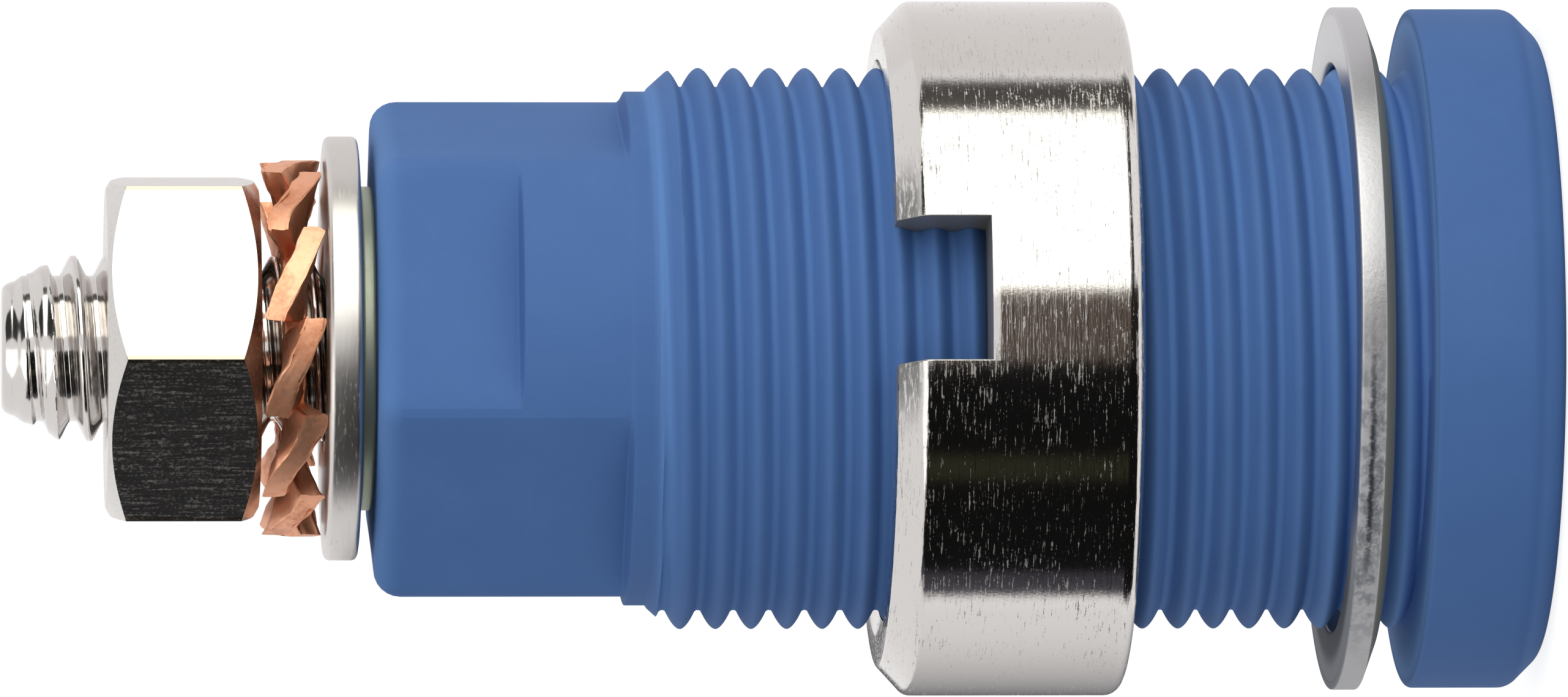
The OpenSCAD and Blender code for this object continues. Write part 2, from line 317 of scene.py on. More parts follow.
def modified(piece, kind, **settings):
    """Gives a piece a modifier and applies it."""
    take_up(piece)
    change = piece.modifiers.new(kind, kind)
    for name, setting in settings.items():
        setattr(change, name, setting)
    bpy.ops.object.modifier_apply(modifier=change.name)


def combined(piece, tool, how):
    """Cuts a piece with a tool body, which is used up."""
    modified(piece, "BOOLEAN", operation=how, solver="EXACT", object=tool)
    bpy.data.objects.remove(tool)


def dented(piece, size, depth):
    """Gives a piece dents of a size and depth."""
    cloud = bpy.data.textures.new(piece.name + "_dents", "CLOUDS")
    cloud.noise_scale = size
    cloud.noise_depth = 2
    modified(piece, "DISPLACE", texture=cloud, texture_coords="LOCAL", strength=depth, mid_level=0.5)


def smooth_step(low, high, value):
    """Rises from 0 to 1 as a value goes from low to high."""
    share = np.clip((value - low) / (high - low), 0, 1)
    return share * share * (3 - 2 * share)


def off_crest(angle, height, pitch, crest):
    """How far a place lies from the nearest crest of a right-hand thread, in pitches."""
    turns = (height - crest) / pitch - angle / FULL_TURN
    return np.abs(turns - np.round(turns))


def moulded_thread(sizes, crest_r, angle, height):
    """Radius of the thread with round crests that the housing has outside and its nut inside."""
    half_crest = 0.42
    roundness = 1.75
    off = off_crest(angle, height, sizes.thread_pitch, sizes.thread_crest)
    return crest_r - sizes.thread_depth * np.clip((off / half_crest) ** roundness, 0, 1)


def cut_thread(sizes, crest_r, angle, height):
    """Radius of the thread with straight flanks that the stud has outside and its nut inside."""
    root_edge = 0.41
    crest_edge = 0.06
    off = off_crest(angle, height, sizes.stud_pitch, sizes.stud_crest)
    flank = np.clip((root_edge - off) / (root_edge - crest_edge), 0, 1)
    return crest_r - sizes.stud_depth * (1 - (flank + smooth_step(0, 1, flank)) / 2)


def handed_over(piece, node, body, finish, sharp, crisp=False):
    """Brings a finished piece to metres and puts it in a node's place on its body.

    Edges over the sharp angle, in degrees, stay sharp. A crisp piece is shaded by its large faces, so
    that the narrow bevels between them don't bend their shine.
    """
    take_up(piece)
    piece.scale = (MM, MM, MM)
    bpy.ops.object.transform_apply()
    bpy.ops.object.shade_smooth_by_angle(angle=math.radians(sharp))
    if crisp:
        modified(piece, "WEIGHTED_NORMAL", keep_sharp=True)
    piece.data.materials.clear()
    piece.data.materials.append(finish)
    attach(piece, body)
    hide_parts(node)


# Finishes


def operation(name, swapped=False):
    """A method of Value that adds a Math node."""

    def added(self, other=0.0):
        pair = (other, self) if swapped else (self, other)
        return self.finish.maths(name, *pair)

    return added


class Value:
    """A shader socket that Python's operators work on."""

    __add__ = __radd__ = operation("ADD")
    __sub__ = operation("SUBTRACT")
    __rsub__ = operation("SUBTRACT", swapped=True)
    __mul__ = __rmul__ = operation("MULTIPLY")
    __truediv__ = operation("DIVIDE")
    __pow__ = operation("POWER")
    __abs__ = operation("ABSOLUTE")
    __round__ = operation("ROUND")
    larger = operation("MAXIMUM")
    smaller = operation("MINIMUM")

    def __init__(self, finish, socket):
        self.finish = finish
        self.socket = socket

    def rise(self, low, high):
        """Goes smoothly from 0 to 1 as this value goes from low to high."""
        sockets = {"Value": self, "From Min": low, "From Max": high}
        return self.finish.node("ShaderNodeMapRange", {"interpolation_type": "SMOOTHSTEP"}, sockets)

    def noise(self, scale, detail, roughness):
        """Cloudy noise from 0 to 1 at this place."""
        sockets = {"Vector": self, "Scale": scale, "Detail": detail, "Roughness": roughness}
        return self.finish.node("ShaderNodeTexNoise", None, sockets, "Fac")


class Finish:
    """A node tree under construction, of a material or of the world."""

    def __init__(self, owner):
        owner.use_nodes = True
        self.owner = owner
        self.tree = owner.node_tree
        self.tree.nodes.clear()

    def node(self, kind, settings=None, sockets=None, output=0):
        """Adds a node, sets it up, fills its sockets and gives one of its outputs."""
        made = self.tree.nodes.new(kind)
        for name, setting in (settings or {}).items():
            setattr(made, name, setting)
        for name, filling in (sockets or {}).items():
            socket = self.find(made.inputs, name)
            if isinstance(filling, Value):
                self.tree.links.new(filling.socket, socket)
            else:
                socket.default_value = filling
        if not made.outputs:
            return None
        return Value(self, self.find(made.outputs, output))

    @staticmethod
    def find(sockets, name):
        """A socket by its place, its identifier or its name."""
        if isinstance(name, int):
            return sockets[name]
        for socket in sockets:
            if socket.identifier == name:
                return socket
        return sockets[name]

    def maths(self, kind, first, second):
        return self.node("ShaderNodeMath", {"operation": kind}, {0: first, 1: second})

    def place(self):
        """The object coordinates in millimetres."""
        metres = self.node("ShaderNodeTexCoord", output="Object")
        return self.node("ShaderNodeVectorMath", {"operation": "SCALE"}, {"Vector": metres, "Scale": 1 / MM})

    def split(self, where):
        """The x, y and z of a place."""
        return [self.node("ShaderNodeSeparateXYZ", None, {0: where}, axis) for axis in range(3)]

    def point(self, x, y, z):
        return self.node("ShaderNodeCombineXYZ", None, {0: x, 1: y, 2: z})

    def mixed(self, share, first, second):
        """A colour between two, each a colour or a link."""
        fill = [c if isinstance(c, Value) else (*c, 1) for c in (first, second)]
        return self.node(
            "ShaderNodeMix",
            {"data_type": "RGBA"},
            {"Factor_Float": share, "A_Color": fill[0], "B_Color": fill[1]},
            "Result_Color",
        )

    def bump(self, height, depth):
        """Normals of a surface whose relief is as deep as a number of millimetres."""
        return self.node("ShaderNodeBump", None, {"Distance": depth * MM, "Height": height})

    def ended(self, surface):
        """Ends the material with a shader, and gives the material."""
        self.node("ShaderNodeOutputMaterial", None, {"Surface": surface})
        return self.owner

    def shaded(self, **sockets):
        """Ends the material with the main shader, whose sockets are named with _ for a space."""
        named = {name.replace("_", " "): filling for name, filling in sockets.items()}
        return self.ended(self.node("ShaderNodeBsdfPrincipled", None, named))


def new_finish(name):
    """The finish of a new material."""
    return Finish(bpy.data.materials.new(name))


def about_axis(finish, x, y):
    """Radius and angle of a place about the socket's axis."""
    return (x * x + y * y) ** 0.5, finish.maths("ARCTAN2", y, x)


def moulded_plastic(colours, sizes):
    """Blue plastic with a fine grain and rubbed patches, painted paler as light in thread roots, beside the
    panel washer and on the flange's front bevel and the barrel's rear rounding.
    """
    finish = new_finish("moulded_plastic")
    here = finish.place()
    x, y, z = finish.split(here)
    radius, angle = about_axis(finish, x, y)
    high = node_box("housing")[1]
    flange_r = high.x
    rear_z = high.z - sizes.seat_depth
    grain = here.noise(7.0, 3.0, 0.6)
    cloud = here.noise(0.42, 3.0, 0.55)
    rings = finish.point(angle * 1.5, z * 9.0, radius * 9.0).noise(1.0, 3.0, 0.6)
    barrel = z.rise(sizes.thread_end - 0.1, sizes.thread_end + 0.4)
    thread = (1 - barrel) * z.rise(sizes.flange_t - 0.1, sizes.flange_t + 0.1)
    turns = (z - sizes.thread_crest) / sizes.thread_pitch - angle / FULL_TURN
    off = abs(turns - round(turns))
    outside = radius.rise(sizes.barrel_r - 0.6, sizes.barrel_r - 0.2)
    # Painted light: the thread roots are painted paler, against the shade that falls in them.
    root = off.rise(0.18, 0.46) * thread * outside
    # Painted light: beside the panel washer the flange's rear face and thread are painted palest, against the
    # washer's shade.
    corner = z.rise(sizes.flange_t + 2.4, sizes.flange_t + 1.2)
    corner = corner * z.rise(sizes.flange_t - 0.02, sizes.flange_t - 0.01)
    corner = corner * radius.rise(flange_r - 0.05, flange_r - 0.35)
    # Painted light: the flange's front bevel, in cloudy patches, and the barrel's rear rounding are painted
    # paler, against the shade that falls on them.
    edge = z.rise(sizes.flange_bevel, sizes.flange_bevel * 0.6)
    edge = edge * radius.rise(flange_r - 0.85, flange_r - 0.45) * (cloud * 0.4 + 0.4)
    edge = edge.larger(z.rise(rear_z - sizes.rear_round, rear_z) * 0.7)
    rub = (cloud * 0.6 + grain * 0.25 + rings * thread * 0.3).rise(0.35, 0.7)
    worn = finish.mixed(rub, colours.plastic, colours.plastic_pale)
    # Painted light: the roots and those edges are mixed towards the paler blue, over the rubbed patches.
    worn = finish.mixed((root * 0.9).larger(edge), worn, colours.plastic_painted_light)
    relief = grain * (barrel * 0.8 + 0.35) + rings * thread * 0.7
    return finish.shaded(
        Base_Color=finish.mixed(corner, worn, colours.plastic_corner_light),
        Roughness=grain * 0.12 + root * 0.1 + 0.63,
        Normal=finish.bump(relief, 0.005),
        Specular_IOR_Level=0.12,
    )


def turned_nickel(name, colours, rough, deep, torn_rough, dulled=None):
    """Nickel plate over turning marks that run round the axis, rough where the tool tore the metal.

    Dulled holds a rule of x, y and z that gives 1 where the plate is dull, and the colour and the share
    of metal of dull plate.
    """
    finish = new_finish(name)
    here = finish.place()
    x, y, z = finish.split(here)
    radius, angle = about_axis(finish, x, y)
    rings = finish.point(angle * 15.0, z * 24.0, radius * 24.0).noise(1.0, 4.0, 0.65)
    streaks = finish.point(angle * 7.0, z * 12.0, radius * 12.0).noise(1.0, 3.0, 0.6)
    speckle = here.noise(15.0, 4.0, 0.7)
    patches = here.noise(0.9, 2.0, 0.5)
    torn = (rings * 0.6 + speckle * 0.25 + patches * 0.15).rise(0.55, 0.65)
    plate = finish.mixed(torn * 0.12, colours.nickel, colours.nickel_dark)
    roughness = rings * 0.08 + torn * torn_rough + rough
    metal = 1.0
    if dulled:
        rule, dull_colour, dull_metal = dulled
        dull = rule(finish, x, y, z)
        plate = finish.mixed(dull * 0.9, plate, dull_colour)
        roughness = roughness + dull * 0.3
        metal = 1 - dull * (1 - dull_metal)
    relief = (rings + speckle + streaks * 5.0 + torn * torn_rough * 2.0) * deep
    return finish.shaded(
        Base_Color=plate,
        Metallic=metal,
        Roughness=roughness,
        Normal=finish.bump(relief, 0.001),
    )


def drawn_nickel(colours, corner_r):
    """Nickel plate over the lengthwise marks of drawn hexagon bar, with a warm colour painted on its corners
    as a reflection.
    """
    finish = new_finish("drawn_nickel")
    here = finish.place()
    x, y, z = finish.split(here)
    radius = about_axis(finish, x, y)[0]
    streaks = finish.point(x * 20.0, y * 20.0, z * 1.5).noise(1.0, 4.0, 0.65)
    speckle = here.noise(14.0, 4.0, 0.7)
    scratch = (streaks * 0.45 + speckle * 0.55).rise(0.5, 0.68)
    # Painted reflection: the corner edges take the warm colour, for a warm line of reflected light.
    worn = radius.rise(corner_r - 0.055, corner_r - 0.04)
    plate = finish.mixed(scratch * 0.4, colours.nickel, colours.nickel_dark)
    return finish.shaded(
        Base_Color=finish.mixed(worn, plate, colours.painted_warm_reflection),
        Metallic=1.0,
        Roughness=streaks * 0.1 + scratch * 0.26 + 0.18,
        Normal=finish.bump(streaks * 1.1 + speckle * 0.9, 0.001),
    )


def punched_nickel(colours, rim_r, rim_low, rim_high):
    """Nickel plate on a punched washer: part of its rim is torn; its rear carries painted shade on the lower
    side, darkest by the hole, and its dull front is painted khaki as reflection and shade.
    """
    finish = new_finish("punched_nickel")
    here = finish.place()
    x, y, z = finish.split(here)
    radius, angle = about_axis(finish, x, y)
    speckle = here.noise(9.0, 4.0, 0.7)
    pits = finish.point(angle * 26.0, z * 4.5, radius * 0.9).noise(1.0, 3.0, 0.6)
    tears = finish.point(angle * 40.0, z * 4.2, radius * 0.9).noise(1.0, 6.0, 0.78)
    edge = finish.point(angle * 20.0, 0.0, 0.0).noise(1.0, 4.0, 0.7)
    depth = (z - rim_low) / (rim_high - rim_low)
    # The front face is dull plate; its khaki colour is painted reflection and shade of the flange close in
    # front of it.
    front = depth.rise(0.02, -0.02)
    on_rim = radius.rise(rim_r - 0.19, rim_r - 0.14)
    scuffed = on_rim * x.rise(1.6, -2.2)
    worn = (pits.rise(0.4, 0.66) * 0.8 + 0.1) * x.rise(-6.9, -4.7)
    plain = finish.mixed(worn * scuffed, colours.punched, colours.torn)
    below = x.rise(-5.2, -3.6) * scuffed
    step = depth - edge * 0.5
    torn = step.rise(0.34, 0.26) * below * depth.rise(0.04, 0.12)
    plain = finish.mixed(torn * tears.rise(0.38, 0.6), plain, colours.torn)
    burr = abs(step - 0.28).rise(0.17, 0.03) * below
    burr = burr * (edge * 0.5 + tears * 0.5).rise(0.36, 0.5)
    # Painted shade: the rear face is darkened on its lower side, where the thread shades it, with torn-metal
    # colour, less metal and more roughness.
    painted_rear_shade = depth.rise(0.9, 0.98) * x.rise(-3.0, -5.2)
    plain = finish.mixed(painted_rear_shade * 0.85, plain, colours.torn)
    # Painted shade: darker still towards the hole, in the burr colour.
    painted_hole_shade = painted_rear_shade * radius.rise(rim_r - 0.39, rim_r - 0.79) * 0.8
    plain = finish.mixed(burr.larger(painted_hole_shade), plain, colours.burr)
    return finish.shaded(
        Base_Color=finish.mixed(front, plain, colours.painted_olive_reflection),
        Metallic=1 - (front * 0.85).larger(scuffed * 0.75 + painted_rear_shade * 0.9),
        Roughness=scuffed * 0.25 + on_rim * 0.08 + front * 0.2 + painted_rear_shade * 0.5 + speckle * 0.14 + 0.24,
        Normal=finish.bump(speckle * (on_rim * 4.0 + 1.2) + (tears + pits) * scuffed * 9.0, 0.001),
    )


def tarnished_copper(colours):
    """Copper-coloured bronze, tarnished darker in patches."""
    finish = new_finish("tarnished_copper")
    here = finish.place()
    grain = here.noise(9.0, 4.0, 0.65)
    patches = here.noise(1.1, 3.0, 0.6)
    tarnish = (patches * 0.7 + grain * 0.3).rise(0.42, 0.72)
    return finish.shaded(
        Base_Color=finish.mixed(tarnish * 0.75, colours.copper, colours.copper_dark),
        Metallic=1.0,
        Roughness=grain * 0.2 + tarnish * 0.12 + 0.36,
        Normal=finish.bump(grain * 2.0 + patches * 3.0, 0.002),
    )


# Pieces


def mould_housing(sizes, colours):
    """The blue housing: flange, thread and barrel outside, sheath groove and inner tube inside."""
    high = node_box("housing")[1]
    flange_r = high.x
    rear_z = high.z - sizes.seat_depth
    round_z = rear_z - sizes.rear_round - 0.04
    mouth = sizes.mouth
    seat_r = sizes.contact_hole_r + 1.1
    back_round = 0.12
    tube_round = 0.15
    groove_round = 0.2
    outline = rounded([
        (sizes.sheath_r, mouth, 0),
        (sizes.sheath_r + mouth, 0, 0),
        (flange_r - sizes.flange_bevel, 0, sizes.flange_round),
        (flange_r, sizes.flange_bevel, sizes.flange_round),
        (flange_r, sizes.flange_t, back_round),
        (sizes.thread_r, sizes.flange_t, 0),
    ])
    row = sizes.thread_pitch / 16
    outline += rows(sizes.flange_t + row, sizes.thread_end, sizes.thread_r, row)
    # The rows lie closest where the flats start.
    near = 0.1
    fine = 0.02
    medium = 0.08
    coarse = 0.15
    for low_z, high_z, step in (
        (sizes.thread_end + row, sizes.long_flat_z - near, medium),
        (sizes.long_flat_z - near + fine, sizes.long_flat_z + near, fine),
        (sizes.long_flat_z + near + medium, sizes.short_flat_z - near, coarse),
        (sizes.short_flat_z - near + fine, sizes.short_flat_z + near, fine),
        (sizes.short_flat_z + near + medium, round_z - fine / 2, coarse),
    ):
        outline += rows(low_z, high_z, sizes.barrel_r, step)
    outline += rounded([
        (sizes.barrel_r, round_z, 0),
        (sizes.barrel_r, rear_z, sizes.rear_round),
        (seat_r, rear_z, 0),
        (sizes.contact_hole_r, rear_z, 0),
        (sizes.contact_hole_r, sizes.lip_z, 0),
        (sizes.lip_r, sizes.lip_z, 0),
        (sizes.lip_r, sizes.tube_z + mouth, 0),
        (sizes.lip_r + mouth, sizes.tube_z, 0),
        (sizes.tube_r, sizes.tube_z, tube_round),
        (sizes.tube_r, sizes.sheath_end, 0),
        (sizes.sheath_r, sizes.sheath_end, groove_round),
        (sizes.sheath_r, mouth + groove_round, 0),
    ])
    half_step = math.pi / ROUND_STEPS
    piece = spun("moulded_housing", outline, ROUND_STEPS, sizes.flat_turn + half_step)

    def outside(radius, angle, height):
        lead_slope = 0.9
        lead_end = sizes.thread_end + 0.08
        flats = 6
        least_facing = 0.8
        neck_run = 0.05
        flat_run = 0.07
        thread = moulded_thread(sizes, sizes.thread_r, angle, height)
        thread = np.minimum(thread, sizes.barrel_r + lead_slope * np.clip(lead_end - height, 0, 1))
        on_thread = (height > sizes.flange_t + row / 2) & (height < sizes.thread_end + row / 2)
        shaped = np.where(on_thread & (radius > sizes.barrel_r - fine), thread, radius)
        neck_low = sizes.long_flat_z - neck_run
        drop = sizes.neck_step * smooth_step(neck_low, neck_low + 2 * neck_run, height)
        for side in range(flats):
            start = sizes.short_flat_z if side % (flats // 2) == 0 else sizes.long_flat_z
            facing = np.maximum(np.cos(angle - sizes.flat_turn - side * FULL_TURN / flats), least_facing)
            depth = np.maximum(sizes.barrel_r - sizes.flat_r / facing, 0)
            drop = np.maximum(drop, depth * smooth_step(start - flat_run, start + flat_run, height))
        share = smooth_step(seat_r - near, seat_r + 1.1, radius)
        inside = (radius < sizes.sheath_r + 0.05) & (height < sizes.sheath_end + near)
        return shaped - np.where(inside | (height < sizes.thread_end), 0, drop * share)

    reshaped(piece, outside)
    creases = sharp_edges(piece, 20)

    def on_corner(edge):
        first, second = edge_ends(piece, edge)
        lengthwise = abs(first.z - second.z) > SAME_PLACE
        on_barrel = min(first.z, second.z) > sizes.long_flat_z + near
        outer = min(first.xy.length, second.xy.length) > sizes.flat_r
        return edge.index in creases and lengthwise and on_barrel and outer

    pick(piece, "EDGE", on_corner)
    bpy.ops.mesh.mark_sharp()
    bpy.ops.object.mode_set(mode="OBJECT")
    handed_over(piece, "housing", "socket", moulded_plastic(colours, sizes), 70)


def turn_contact(sizes, colours):
    """The contact: a tube with the plug bore, a collar, and a threaded stud with a ridged end."""
    low, high = node_box("contact")
    seat_z = node_box("housing")[1].z
    collar_low = seat_z - sizes.seat_depth
    collar_high = seat_z + sizes.collar_t
    drill_point = 1.2
    mouth_w = 0.2
    mouth_h = 0.25
    mouth_round = 0.05
    front_round = 0.1
    collar_round = 0.07
    outline = rounded([
        (0, sizes.plug_bore_end + drill_point, 0),
        (sizes.plug_bore_r, sizes.plug_bore_end, 0),
        (sizes.plug_bore_r, low.z + mouth_h, 0),
        (sizes.plug_bore_r + mouth_w, low.z, mouth_round),
        (sizes.contact_r, low.z, front_round),
        (sizes.contact_r, collar_low, 0),
        (sizes.collar_r, collar_low, collar_round),
        (sizes.collar_r, collar_high, collar_round),
        (sizes.stud_r, collar_high, 0),
    ])
    row = sizes.stud_pitch / 24
    tip_z = high.z - 0.16
    end_slope = 0.5
    end_round = 0.2
    outline += rows(collar_high + row, tip_z - row, sizes.stud_r, row)
    outline += rounded([
        (sizes.stud_end_r + end_slope * (high.z - tip_z), tip_z, 0),
        (sizes.stud_end_r, high.z, end_round),
        (0, high.z, 0),
    ])
    piece = spun("turned_contact", outline, STUD_STEPS)

    def threaded(radius, angle, height):
        thread = cut_thread(sizes, sizes.stud_r, angle, height)
        ridge_pitch = 0.36
        ridge_h = 0.018
        below_end = high.z - height
        ridge = ridge_h * np.sin(below_end * FULL_TURN / ridge_pitch)
        end = sizes.stud_end_r + end_slope * below_end + ridge
        on_stud = (height > collar_high + row / 2) & (height < tip_z - row / 2)
        return np.where(on_stud, np.minimum(thread, end), radius)

    reshaped(piece, threaded)

    def on_collar(finish, x, y, z):
        soft = 0.01
        above = z.rise(collar_low, collar_low + soft)
        return above * z.rise(collar_high + 2 * soft, collar_high + soft)

    # Painted reflection and light: the collar's pale green-grey stands in for green reflections and for light
    # in the gap between the flat washer and the barrel.
    dulled = (on_collar, colours.collar, 0.6)
    finish = turned_nickel("stud_nickel", colours, 0.09, 0.15, 0.1, dulled)
    handed_over(piece, "contact", "socket", finish, 75)


def punch_panel_washer(sizes, colours):
    """The panel washer, with a raised front face and a rim that is part rubbed and part torn."""
    low, high = node_box("panel_washer")
    rim_low = high.z - sizes.panel_washer_rim
    outline = rounded([
        (sizes.panel_washer_hole_r, low.z, 0.06),
        (sizes.panel_washer_face_r, low.z, 0.06),
        (high.x, rim_low, 0.03),
        (high.x, high.z, 0.05),
        (sizes.panel_washer_hole_r, high.z, 0.08),
    ])
    piece = spun("punched_panel_washer", outline, ROUND_STEPS)
    finish = punched_nickel(colours, high.x, rim_low, high.z)
    handed_over(piece, "panel_washer", "panel_washer", finish, 50)


def turn_panel_nut(sizes, colours):
    """The round panel nut: bevelled at the rear, threaded inside, with a spanner slot across its rear."""
    low, high = node_box("panel_nut")
    hole = sizes.thread_r + sizes.play
    chamfer = 0.12
    edge_w = 0.03
    mouth_round = 0.05
    face_round = 0.1
    bevel_z = high.z - sizes.nut_bevel_h
    side_low = low.z + sizes.nut_round
    side_high = bevel_z - sizes.nut_bevel_round / 2
    side_end = 0.2
    side_row = 0.3
    outline = rows(low.z + chamfer, high.z - chamfer, hole, sizes.thread_pitch / 12)[::-1]
    outline += rounded([
        (hole, low.z + chamfer, 0),
        (hole + chamfer, low.z, mouth_round),
        (high.x, low.z, sizes.nut_round),
        (high.x, side_low + 0.01, 0),
    ])[1:]
    outline += rows(side_low + side_end, side_high - side_end, high.x, side_row)
    outline += rounded([
        (high.x, side_high, 0),
        (high.x, bevel_z, sizes.nut_bevel_round),
        (high.x - sizes.nut_bevel_w, high.z, face_round),
        (hole + chamfer, high.z, mouth_round),
        (hole, high.z - chamfer, 0),
    ])[:-1]
    piece = spun("slotted_panel_nut", outline, ROUND_STEPS)

    def tapped(radius, angle, height):
        thread = moulded_thread(sizes, hole, angle, height)
        return np.where(radius < hole + SAME_PLACE * 10, thread, radius)

    reshaped(piece, tapped)
    floor = high.z - sizes.slot_depth
    half_slot = sizes.slot_w / 2
    start_alone()
    bpy.ops.mesh.primitive_cube_add(
        size=1,
        location=(0, 0, floor + high.z / 2),
        rotation=(0, 0, sizes.slot_turn),
        scale=(high.x * 3, sizes.slot_w, high.z),
    )
    slot = bpy.context.object
    bpy.ops.object.transform_apply()
    combined(piece, slot, "DIFFERENCE")
    across = Vector((-math.sin(sizes.slot_turn), math.cos(sizes.slot_turn), 0))
    creases = sharp_edges(piece, 20)

    def on_slot(place):
        on_wall = abs(abs(place.dot(across)) - half_slot) < SAME_PLACE * 100
        on_floor = abs(place.z - floor) < SAME_PLACE * 100
        return (on_wall or on_floor) and place.xy.length > hole + chamfer

    def slot_edge(edge):
        return edge.index in creases and all(on_slot(end) for end in edge_ends(piece, edge))

    bevelled(piece, slot_edge, edge_w, 2)
    reshaped(piece, lambda radius, angle, height: np.minimum(radius, high.x))

    def dull_places(finish, x, y, z):
        aside = abs(x * across.x + y * across.y)
        inner = aside.rise(half_slot + 0.03, half_slot + 0.01)
        walls = inner * z.rise(floor - 0.02, floor)
        beside = aside.rise(half_slot + 1.6, half_slot + 0.3)
        beside = beside * z.rise(bevel_z, bevel_z + 0.2)
        marks = finish.point(x * 2.6, y * 2.6, z * 22.0).noise(1.0, 4.0, 0.7)
        return walls.larger(beside * marks.rise(0.38, 0.52))

    dulled = (dull_places, colours.milled, 0.3)
    finish = turned_nickel("turned_nickel", colours, 0.07, 1.0, 0.8, dulled)
    handed_over(piece, "panel_nut", "panel_nut", finish, 30, crisp=True)


def turn_flat_washer(sizes, colours):
    """The turned flat washer on the stud, with rounded edges."""
    low, high = node_box("flat_washer")
    hole_round = 0.05
    rim_round = 0.13
    outline = ring(sizes.stud_washer_hole_r, high.x, low.z, high.z, hole_round, rim_round)
    piece = spun("turned_flat_washer", outline, ROUND_STEPS)
    finish = turned_nickel("washer_nickel", colours, 0.31, 0.5, 0.2)
    handed_over(piece, "flat_washer", "terminal_washers", finish, 50)


def draw_tooth(sizes, root_r, tip_r, middle):
    """A flat tooth of the lock washer, drawn out along +X in sections, with softened edges."""
    edge_w = 0.06
    cuts = 9
    sections = 6
    centre = (root_r, 0, middle)
    start_alone()
    bpy.ops.mesh.primitive_plane_add(size=1, location=centre, rotation=(0, math.pi / 2, 0))
    tooth = bpy.context.object
    bpy.ops.object.transform_apply()
    bpy.ops.object.mode_set(mode="EDIT")
    bpy.ops.mesh.select_all(action="SELECT")
    bpy.ops.transform.resize(value=(1, sizes.lock_tip_w, sizes.lock_sheet), center_override=centre)
    bpy.ops.mesh.subdivide(number_cuts=cuts)
    reach = (tip_r - root_r) / sections
    for _ in range(sections):
        bpy.ops.mesh.extrude_region_move(TRANSFORM_OT_translate={"value": (reach, 0, 0)})
    bpy.ops.mesh.select_all(action="SELECT")
    bpy.ops.mesh.normals_make_consistent(inside=False)
    bpy.ops.object.mode_set(mode="OBJECT")
    creases = sharp_edges(tooth, 40)
    bevelled(tooth, lambda edge: edge.index in creases, edge_w, 2)
    return tooth


def twist_tooth(tooth, sizes, tip_r, middle, lift, number):
    """Narrows a flat tooth towards the ring and twists it; no two teeth come out quite alike."""
    lift *= 0.92 + 0.08 * math.sin(number * 2.4)
    bow = 0.42 + 0.2 * math.sin(number * 4.1)
    early = 0.1
    half = sizes.lock_tip_w / 2
    for vertex in tooth.data.vertices:
        out = (vertex.co.x - sizes.lock_ring_r) / (tip_r - sizes.lock_ring_r)
        out = min(max(out + early, 0), 1)
        narrow = (sizes.lock_root_w + (sizes.lock_tip_w - sizes.lock_root_w) * out) / sizes.lock_tip_w
        across = vertex.co.y / half
        rise = -lift * out * ((1 + bow) * across - bow * across ** 3)
        slope = math.atan(-lift * out * (1 + bow - 3 * bow * across ** 2) / (half * narrow))
        thick = vertex.co.z - middle
        vertex.co.y = vertex.co.y * narrow - thick * math.sin(slope)
        vertex.co.z = middle + rise + thick * math.cos(slope)


def twist_lock_washer(sizes, colours):
    """The lock washer: a flat tooth is copied round a ring, then each copy is twisted and all is dented."""
    low, high = node_box("lock_washer")
    middle = (low.z + high.z) / 2
    tip_r = high.x
    teeth = 12
    ring_round = 0.05
    sheet_low = middle - sizes.lock_sheet / 2
    sheet_high = middle + sizes.lock_sheet / 2
    tooth = draw_tooth(sizes, sizes.lock_ring_r - sizes.lock_root, tip_r, middle)
    hole_r = sizes.stud_washer_hole_r
    outline = ring(hole_r, sizes.lock_ring_r, sheet_low, sheet_high, ring_round, ring_round)
    piece = spun("toothed_lock_washer", outline, STUD_STEPS)
    parts = [piece]
    lift = (high.z - low.z - sizes.lock_sheet) / 2
    for number in range(teeth):
        copy = tooth.copy()
        copy.data = tooth.data.copy()
        bpy.context.collection.objects.link(copy)
        twist_tooth(copy, sizes, tip_r, middle, lift, number)
        copy.rotation_euler.z = sizes.lock_turn + number * FULL_TURN / teeth
        parts.append(copy)
    bpy.data.objects.remove(tooth)
    start_alone()
    for part in parts:
        part.select_set(True)
    bpy.context.view_layer.objects.active = piece
    bpy.ops.object.join()
    bpy.ops.object.transform_apply()
    for size, depth in ((0.55, 0.2), (0.2, 0.07)):
        dented(piece, size, depth)
    reshaped(piece, lambda radius, angle, height: np.minimum(radius, tip_r))
    for vertex in piece.data.vertices:
        vertex.co.z = min(max(vertex.co.z, low.z), high.z)
    handed_over(piece, "lock_washer", "terminal_washers", tarnished_copper(colours), 40)


